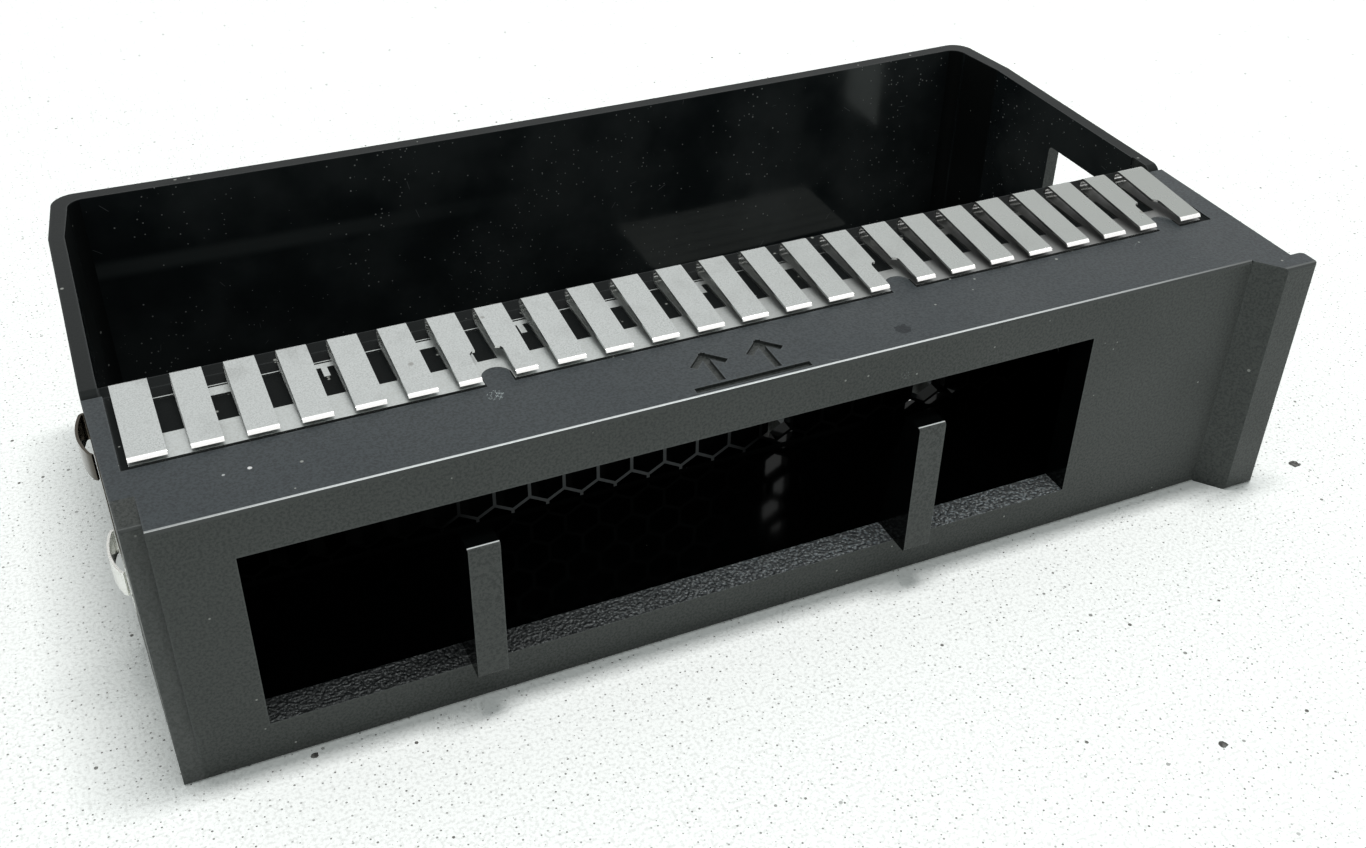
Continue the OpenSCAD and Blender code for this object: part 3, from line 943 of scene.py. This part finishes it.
def aimed(place: Vector, forward: Vector, right: Vector) -> Matrix:
    """Return the placing of something that looks along -Z.

    Args:
        place: Where it stands.
        forward: Where it looks.
        right: Rough direction of its own X.

    Returns:
        Its world matrix.
    """
    back = -forward.normalized()
    right = (right - right.dot(back) * back).normalized()
    up = back.cross(right)
    return Matrix.Translation(place) @ Matrix((right, up, back)).transposed().to_4x4()


@dataclass
class Stage:
    """Pale floor, soft light and camera.

    The floor's tone is lit_floor where it sends light on, and seen_floor near the part or far_floor
    away from it where it is looked at. A speck layer is its scale in features a metre, and the size,
    the share and the spread of depth of its specks.
    """

    floor_half: float = 3.0
    lit_floor: Colour = (0.9, 0.91, 0.89)
    seen_floor: Colour = (1.39, 1.41, 1.38)
    far_floor: Colour = (2.9, 2.9, 2.9)
    speck: Colour = (0.2, 0.19, 0.18)
    speck_layers: tuple[tuple[float, float, float, float], ...] = (
        (1500.0, 0.1, 0.5, 0.45),
        (420.0, 0.05, 0.12, 0.8),
    )
    blot: Colour = (0.12, 0.115, 0.11)
    blots: tuple[tuple[float, float, float], ...] = (
        (59.0, -28.0, 0.6),
        (27.0, -55.0, 0.4),
        (-41.0, -27.0, 0.35),
    )
    fibre: Colour = (0.62, 0.62, 0.59)
    lens: float = 40.107
    eye: Point = (-0.049492, -0.113322, 0.093795)
    forward: Point = (0.3405, 0.7302, -0.5923)
    right: Point = (0.9118, -0.4102, 0.0185)

    def floor(self) -> None:
        """Lay the floor: a plain square in the plane of the part's underside."""
        h = self.floor_half
        mesh = bpy.data.meshes.new("floor")
        mesh.from_pydata([(-h, -h, 0), (h, -h, 0), (h, h, 0), (-h, h, 0)], [], [(0, 1, 2, 3)])
        plane = added("floor", mesh)
        material, g, place = started("Pale board")
        path = g.node("LightPath")
        seen = g.math("MAXIMUM", path.outputs["Is Camera Ray"], path.outputs["Is Glossy Ray"])
        away = g.vector("LENGTH", place).outputs["Value"]
        far = g.mix(g.ramp(away, 0.12, 0.9), self.seen_floor, self.far_floor)
        board = g.mix(seen, self.lit_floor, far)
        for scale, size, share, spread in self.speck_layers:
            specks = g.node("TexVoronoi", {"Vector": place, "Scale": scale}, voronoi_dimensions="2D")
            drawn = g.node("SeparateColor", {0: specks.outputs["Color"]})
            radius = g.math("MULTIPLY", size, g.math("ADD", 0.5, drawn.outputs[1]))
            spot = g.math("LESS_THAN", specks.outputs["Distance"], radius)
            spot = g.math("MULTIPLY", spot, g.math("LESS_THAN", drawn.outputs[0], share))
            depth = g.math("ADD", 0.45, g.math("MULTIPLY", drawn.outputs[2], spread))
            board = g.mix(g.math("MULTIPLY", spot, depth, clamp=True), board, self.speck)
        for x, y, radius in self.blots:
            mark = Mark((x, y, 0.0), radius, self.blot)
            board = g.mix(mark.mask(g, place, (0.0, 0.0)), board, mark.colour)
        fibres = g.ramp(g.noise(place, 3200.0, 3.0), 0.45, 0.65)
        board = g.mix(g.math("MULTIPLY", fibres, 0.28), board, self.fibre)
        end_with(g, g.node("BsdfDiffuse", {"Color": board}))
        mesh.materials.append(material)

    def world(self) -> None:
        """Even pale light from all round, and plain white where the camera sees past the floor."""
        world = bpy.data.worlds.new("Pale room")
        bpy.context.scene.world = world
        world.use_nodes = True
        g = Graph(world.node_tree)
        path = g.node("LightPath")
        soft = g.node("Background", {"Color": (0.94, 1.0, 1.0, 1.0), "Strength": 0.38})
        white = g.node("Background", {"Color": (1.0, 1.0, 1.0, 1.0), "Strength": 1.0})
        direct = g.math("MAXIMUM", path.outputs["Is Camera Ray"], path.outputs["Is Glossy Ray"])
        direct = g.math("MAXIMUM", direct, path.outputs["Is Transmission Ray"])
        seen = g.node("MixShader", {0: direct, 1: soft.outputs[0], 2: white.outputs[0]})
        g.node("OutputWorld", {"Surface": seen.outputs[0]})

    def lamp(
        self,
        name: str,
        place: Point,
        size: tuple[float, float],
        watts: float,
        mirrored: bool = True,
        lights: bool = True,
    ) -> None:
        """Hang a rectangular soft lamp that faces the part.

        Args:
            name: Name of the lamp.
            place: Where it hangs, in metres.
            size: Its length along X and its width.
            watts: Its power.
            mirrored: Whether glossy surfaces show it.
            lights: Whether matt surfaces are lit by it.
        """
        data = bpy.data.lights.new(name, "AREA")
        data.shape = "RECTANGLE"
        data.size, data.size_y = size
        data.energy = watts
        lamp = added(name, data)
        lamp.matrix_world = aimed(Vector(place), -Vector(place), Vector((1, 0, 0)))
        lamp.visible_glossy = mirrored
        lamp.visible_diffuse = lights

    def camera(self) -> None:
        """Set the camera from its eye point, its view direction and its right-hand direction."""
        data = bpy.data.cameras.new("camera")
        data.sensor_width = 36.0
        data.lens = self.lens
        data.clip_start = 0.005
        camera = added("camera", data)
        camera.matrix_world = aimed(Vector(self.eye), Vector(self.forward), Vector(self.right))
        bpy.context.scene.camera = camera

    def build(self) -> None:
        """Make the whole stage."""
        self.camera()
        self.floor()
        self.world()
        self.lamp("ceiling tube", (0.18, -0.13, 0.8), (0.6, 0.06), 1.5, lights=False)
        self.lamp("overhead soft box", (0.06, 0.024, 0.8), (0.3, 0.06), 2.9, mirrored=False)
        bpy.context.scene.view_settings.view_transform = "Standard"


def housing_finishes(effects: Effects) -> dict[Zone, bpy.types.Material]:
    """Make the housing's materials.

    Args:
        effects: The shader groups that they share.

    Returns:
        The material of each zone.
    """
    made = {
        Zone.OUTSIDE: PlasticFinish(
            "spark grain",
            (0.004, 0.0055, 0.005),
            (0.007, 0.009, 0.008),
            0.44,
            grain_height=0.00002,
            mottle=(0.04, 0.043, 0.04),
            dust=0.15,
            marks=(Mark((62.9, 0.0, 22.4), 0.5, (0.2, 0.21, 0.21), scratched=True, strength=0.6),),
        ),
        # Painted light: the shoulder is paler than the face to cancel the shade that the step casts on it.
        Zone.SHOULDER: PlasticFinish(
            "shoulder",
            (0.026, 0.028, 0.027),
            (0.03, 0.033, 0.031),
            0.44,
            grain_height=0.00002,
            mottle=(0.065, 0.068, 0.065),
            dust=0.15,
        ),
        Zone.TOP_PLATE: PlasticFinish(
            "top plate",
            (0.006, 0.008, 0.01),
            (0.01, 0.012, 0.016),
            0.4,
            grain_height=0.000018,
            mottle=(0.028, 0.035, 0.039),
            dust=0.08,
            scratches=0.15,
            sheen_tint=(0.88, 0.98, 0.99),
            marks=(
                Mark((63.8, 2.4, PLATE_TOP), 0.75, (0.01, 0.012, 0.015), strength=0.55),
                Mark((29.5, 6.4, PLATE_TOP), 0.75, (0.4, 0.45, 0.45), scratched=True),
                Mark((10.2, 4.6, PLATE_TOP), 0.16, (0.8, 0.8, 0.8)),
                Mark((8.3, 4.5, PLATE_TOP), 0.12, (0.5, 0.5, 0.5)),
            ),
        ),
        Zone.INSIDE: PlasticFinish(
            "polished",
            (0.011, 0.014, 0.015),
            (0.05, 0.056, 0.056),
            0.08,
            rough_spread=0.05,
            grain_scale=900.0,
            grain_height=0.0000015,
            specular=0.24,
            dust=0.6,
            dust_size=0.14,
            dust_spacing=1900.0,
            dust_light=(0.45, 0.46, 0.45),
            pale_band=(17.7, 1.3),
            scratches=0.8,
            wear=0.1,
        ),
        # Painted light: the ledge's pale stretch along X and the glints on its grain stand in for light; its
        # creases hold painted shade.
        Zone.LEDGE: PlasticFinish(
            "leather grain",
            (0.035, 0.04, 0.043),
            (0.84, 0.92, 0.98),
            0.35,
            painted_light_stretch=(50.0, 75.0),
            grain_scale=4600.0,
            grain_height=0.0003,
            dust=0.0,
            leather=3600.0,
            specular=1.0,
            painted_glint=(1.0, 1.0, 1.0),
        ),
        Zone.EDGE: PlasticFinish(
            "burnished edge",
            (0.012, 0.014, 0.013),
            (0.03, 0.032, 0.031),
            0.25,
            grain_height=0.000003,
            dust=0.0,
            specular=0.6,
            wear=0.0,
        ),
        # Painted highlight: a pale band on the top front edge and the posts' top edges, fading along X.
        Zone.BRIGHT_EDGE: PlasticFinish(
            "painted highlight edge",
            (0.06, 0.063, 0.063),
            (0.72, 0.74, 0.74),
            0.2,
            grain_height=0.000003,
            dust=0.0,
            specular=1.0,
            wear=0.0,
            painted_light_stretch=(-6.0, 58.0),
        ),
        # Low gloss: the bed's own finish, kept low as painted shade under the fingers.
        Zone.BED: PlasticFinish(
            "strip bed",
            (0.006, 0.007, 0.007),
            (0.012, 0.014, 0.014),
            0.5,
            dust=0.4,
            specular=0.04,
        ),
        Zone.RIM: PlasticFinish(
            "rim",
            (0.008, 0.01, 0.01),
            (0.014, 0.016, 0.016),
            0.4,
            dust=0.2,
            specular=0.12,
        ),
        # Near black: polished black plastic, darkened further as painted shade in the recess behind the
        # window.
        Zone.CAVITY: PlasticFinish(
            "front cavity",
            (0.0015, 0.002, 0.002),
            (0.0025, 0.003, 0.003),
            0.07,
            rough_spread=0.06,
            grain_scale=900.0,
            grain_height=0.0000015,
            dust=0.012,
            dust_light=(0.1, 0.1, 0.1),
            scratches=0.04,
            wear=0.0,
            specular=0.13,
        ),
        # Painted highlight: the webs' fronts turn pale over a stretch along X.
        Zone.WEBS: PlasticFinish(
            "cell webs with painted highlight",
            (0.001, 0.0012, 0.0012),
            (0.22, 0.23, 0.23),
            0.3,
            dust=0.0,
            wear=0.0,
            specular=0.1,
            painted_light_stretch=(-8.0, 17.0),
        ),
    }
    return {zone: finish.material(effects) for zone, finish in made.items()}


def main() -> None:
    """Build every piece and the stage."""
    logging.basicConfig(level=logging.INFO, format="%(name)s: %(message)s")
    Stage().build()
    effects = Effects()
    # Painted shade: the fingers' colour falls along X towards the right.
    satin = SteelFinish(
        "Satin spring steel",
        stain=(0.41, 0.43, 0.42),
        speckle=8000.0,
        painted_shade=(0.36, 0.38, 0.36),
        painted_shade_along=(-20.0, 60.0),
    )
    # Painted highlight: the lips are smoother than the flats, and near white as painted highlight.
    burnished = SteelFinish("Burnished spring steel with painted highlight", (1.0, 1.0, 0.98), (0.9, 0.9, 0.88), 0.12)
    # Painted shade: the base sheet and the fingers' sides, falling to dark along X.
    shaded = SteelFinish(
        "Shaded spring steel",
        roughness=0.34,
        painted_shade=(0.24, 0.245, 0.24),
        painted_shade_along=(-20.0, 35.0),
    )
    # Painted dark reflection: the side fingers' tops above a height take a dark brown colour.
    polished = SteelFinish(
        "Polished spring steel",
        (0.78, 0.79, 0.76),
        (0.55, 0.54, 0.5),
        0.14,
        painted_reflection_above=15.0,
    )
    steel, lip, under, side = (finish.material(effects) for finish in (satin, burnished, shaded, polished))
    pieces = [
        Housing().build(housing_finishes(effects)),
        ContactStrip("top_spring_strip", "top_contact_strip").build(steel, lip, under),
        ContactStrip("side_spring_strip", "side_contact_strip").build(side, side, side),
    ]
    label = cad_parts["label"]
    label.data.materials.clear()
    label.data.materials.append(PaperFinish("Label paper").material())
    pieces.append(label)
    for piece in pieces:
        log.info("%s: %d faces, %d finishes", piece.name, len(piece.data.polygons), len(piece.data.materials))


if __name__ == "__main__":
    main()
